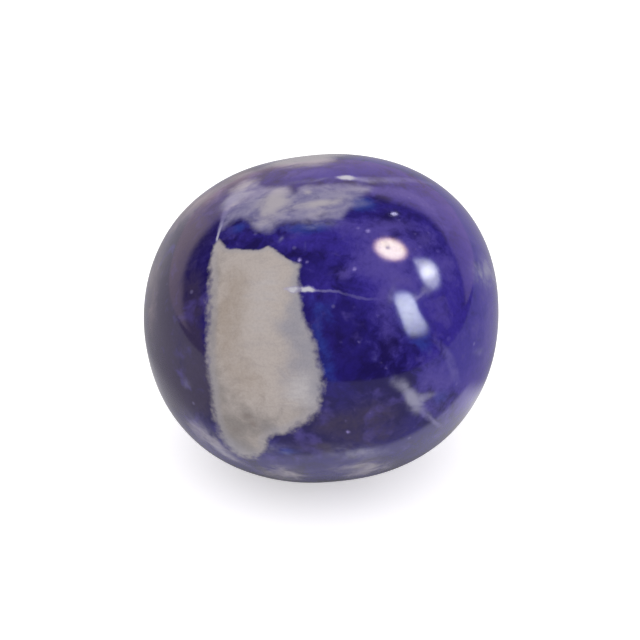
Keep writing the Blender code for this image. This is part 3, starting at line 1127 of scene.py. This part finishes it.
def make_pane(view, name, outline):
    """A light that the stone mirrors within an outline of photo pixels: rings from the outline's middle
    to its rim, each point sent out along its mirrored ray. It is seen in the polish and nowhere else."""
    rim = curve_through(outline, 4, closed=True)
    heart = rim.mean(axis=0)
    shares = np.linspace(PANE_HOLE, 1, PANE_RINGS)
    pixels = (heart + shares[:, None, None] * (rim - heart)).reshape(-1, 2)
    points, ways = view.mirrored(pixels)
    index = np.arange(len(points)).reshape(PANE_RINGS, len(rim))
    following = np.roll(index, -1, axis=1)
    corners = (index[:-1], following[:-1], following[1:], index[1:])
    faces = np.stack([corner.ravel() for corner in corners], axis=1)
    material = glowing(f"{name}_glow", **LIGHTS[name])
    pane = add_piece(name, points + ways * PANE_DISTANCE, faces, material)
    keep_field(pane, "share", np.repeat(shares, len(rim)))
    keep_field(pane, "pixel", np.pad(pixels, ((0, 0), (0, 1))))
    for ray in ("camera", "diffuse", "transmission", "volume_scatter", "shadow"):
        setattr(pane, f"visible_{ray}", False)


def ellipse(middle, half, tilt=0.0, count=24):
    """Points on an ellipse in photo pixels, tilted clockwise."""
    turn = np.linspace(0, 2 * np.pi, count, endpoint=False)
    along, beside = half[0] * np.cos(turn), half[1] * np.sin(turn)
    return np.stack((middle[0] + along * math.cos(tilt) - beside * math.sin(tilt),
                     middle[1] + along * math.sin(tilt) + beside * math.cos(tilt)), axis=1)


def make_lights(view):
    """The lamp, the two windows and the small spark that the polish mirrors."""
    outlines = {
        "lamp": ellipse(LAMP_MIDDLE, LAMP_HALF, LAMP_TILT),
        **WINDOW_OUTLINES,
        "spark": ellipse(SPARK_MIDDLE, SPARK_HALF),
    }
    for name, outline in outlines.items():
        make_pane(view, name, outline)


def floor_in_polish(nodes, place):
    """How bright the floor is where the stone's polish mirrors it: white round the stone, then grey, dark
    in front, and the stone's own shadow."""
    across, back, _ = nodes.split(place)
    white = nodes.step(across, *WHITE_TO_LEFT)
    dimmed = nodes.step(nodes.plus(across, back), *WHITE_TO_BACK_RIGHT)
    white = nodes.times(white, dimmed)
    grey = nodes.step(across, *GREY_TO_LEFT)
    offset = nodes.vectors("SUBTRACT", place, WHITE_MIDDLE)
    share = nodes.vectors("LENGTH", nodes.vectors("DIVIDE", offset, (*WHITE_HALF, 1.0)), result="Value")
    level = nodes.step(share, nodes.step(across, *EDGE_TO_LEFT), WHITE_END, white, grey)
    to_left, to_right = (nodes.times(across, slope) for slope in (-DARK_FRONT_LEFT, DARK_FRONT_RIGHT))
    front = nodes.maths("SUBTRACT", nodes.maths("MAXIMUM", to_left, to_right), back)
    dark_front = nodes.step(front, DARK_FRONT_START, DARK_FRONT_START + DARK_FRONT_BLUR)
    level = nodes.step(dark_front, 0.0, 1.0, level, DARK_FRONT_LEVEL)
    reach = nodes.vectors("LENGTH", nodes.vectors("MULTIPLY", place, SHADOW_SHAPE), result="Value")
    return nodes.times(level, nodes.step(reach, *SHADOW_OUTWARDS))


def make_floor():
    """A plain pale floor that glows a little, as a lit table does, so the stone's shadow is faint. The
    stone's polish mirrors it by its own levels."""
    material, shader, nodes = new_material("pale_floor")
    level = floor_in_polish(nodes, nodes.add("ShaderNodeTexCoord").outputs["Object"])
    path = nodes.add("ShaderNodeLightPath").outputs
    by_polish, by_camera = path["Is Glossy Ray"], path["Is Camera Ray"]
    glow = nodes.times(by_camera, FLOOR_GLOW)
    nodes.feed(shader.inputs["Base Color"], nodes.blend(by_polish, FLOOR_WHITE, BLACK))
    nodes.feed(shader.inputs["Emission Color"], FLOOR_TINT)
    nodes.feed(shader.inputs["Emission Strength"], nodes.step(by_polish, 0, 1, glow, level))
    shader.inputs["Roughness"].default_value = 0.9
    shader.inputs["Specular IOR Level"].default_value = 0.0
    half = FLOOR_SIZE / 2
    corners = [(-half, -half, 0), (half, -half, 0), (half, half, 0), (-half, half, 0)]
    add_piece("floor", corners, [(0, 1, 2, 3)], material)


def backdrop(nodes, way):
    """Where a direction meets the room's backdrop: one below the backdrop's edge and nought above it. The
    edge is a ramp over the azimuth, whose grey is half of the sine of its elevation, plus a half."""
    ramp = nodes.add("ShaderNodeValToRGB")
    ramp.color_ramp.interpolation = "LINEAR"
    stops = ramp.color_ramp.elements
    for azimuth, elevation in BACKDROP_EDGE[1:-1]:
        stops.new((azimuth + 180) / 360)
    for stop, (azimuth, elevation) in zip(stops, BACKDROP_EDGE):
        grey = (math.sin(math.radians(elevation)) + 1) / 2
        stop.position, stop.color = (azimuth + 180) / 360, (grey, grey, grey, 1)
    across, back, upward = nodes.split(way)
    turn = nodes.maths("ARCTAN2", across, nodes.times(back, -1.0))
    nodes.feed(ramp.inputs["Fac"], nodes.maths("MULTIPLY_ADD", turn, 0.5 / math.pi, 0.5))
    height = nodes.maths("MULTIPLY_ADD", ramp.outputs["Color"], 2.0, -1.0)
    return nodes.step(nodes.maths("SUBTRACT", height, upward), -BACKDROP_BLUR, BACKDROP_BLUR)


def make_room(view):
    """Surroundings: an even soft light. In the polish, the room is dark but for a pale backdrop behind the
    stone and to its sides, which is a little warmer on the left."""
    world = bpy.data.worlds.new("room")
    world.use_nodes = True
    world.cycles.sampling_method = "NONE"
    bpy.context.scene.world = world
    nodes = Nodes(world.node_tree)
    way = nodes.add("ShaderNodeTexCoord").outputs["Generated"]
    to_key, to_camera, to_right = (
        nodes.vectors("DOT_PRODUCT", way, direction, result="Value")
        for direction in (heading(*KEY_SIDE), view.back, view.right)
    )
    soft = nodes.step(to_key, -1.0, 1.0, (1 - KEY_SHARE) * SOFT_LIGHT, (1 + KEY_SHARE) * SOFT_LIGHT)
    pale = nodes.step(to_camera, *BACKDROP_RUN, BACKDROP_NEAR, BACKDROP_FAR)
    mirrored = nodes.maths("MULTIPLY_ADD", backdrop(nodes, way), pale, ROOM_DARK)
    path = nodes.add("ShaderNodeLightPath").outputs
    strength = nodes.step(path["Is Glossy Ray"], 0, 1, soft, mirrored)
    strength = nodes.step(path["Is Camera Ray"], 0, 1, strength, FLOOR_PALE)
    tint = nodes.blend(nodes.step(to_right, *TINT_RUN), TINT_LEFT, TINT_RIGHT)
    tint = nodes.blend(path["Is Glossy Ray"], SOFT_TINT, tint)
    background = nodes.tree.nodes["Background"].inputs
    nodes.feed(background["Color"], tint)
    nodes.feed(background["Strength"], strength)


def make_camera(view):
    """The camera at the photograph's angle. It looks straight along the view, so that the stone's middle
    comes a little off the picture's middle without any shift."""
    lens = bpy.data.cameras.new("camera")
    lens.sensor_width = SENSOR
    lens.lens = view.focal * SENSOR / PICTURE
    lens.clip_start = 0.01
    lens.clip_end = 10
    camera = bpy.data.objects.new("camera", lens)
    turned = Matrix(np.column_stack((view.right, view.up, view.back)).tolist()).to_4x4()
    camera.matrix_world = Matrix.Translation(view.eye) @ turned
    bpy.context.scene.collection.objects.link(camera)
    bpy.context.scene.camera = camera
    bpy.context.scene.view_settings.view_transform = "Standard"


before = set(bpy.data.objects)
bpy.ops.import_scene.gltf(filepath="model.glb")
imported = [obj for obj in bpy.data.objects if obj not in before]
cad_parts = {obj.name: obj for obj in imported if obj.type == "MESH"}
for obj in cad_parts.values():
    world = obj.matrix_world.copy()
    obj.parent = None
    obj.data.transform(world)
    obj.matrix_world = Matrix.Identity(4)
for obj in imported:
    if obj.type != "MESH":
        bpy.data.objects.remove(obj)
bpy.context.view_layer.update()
photo_view = make_stone()
make_lights(photo_view)
make_floor()
make_room(photo_view)
make_camera(photo_view)
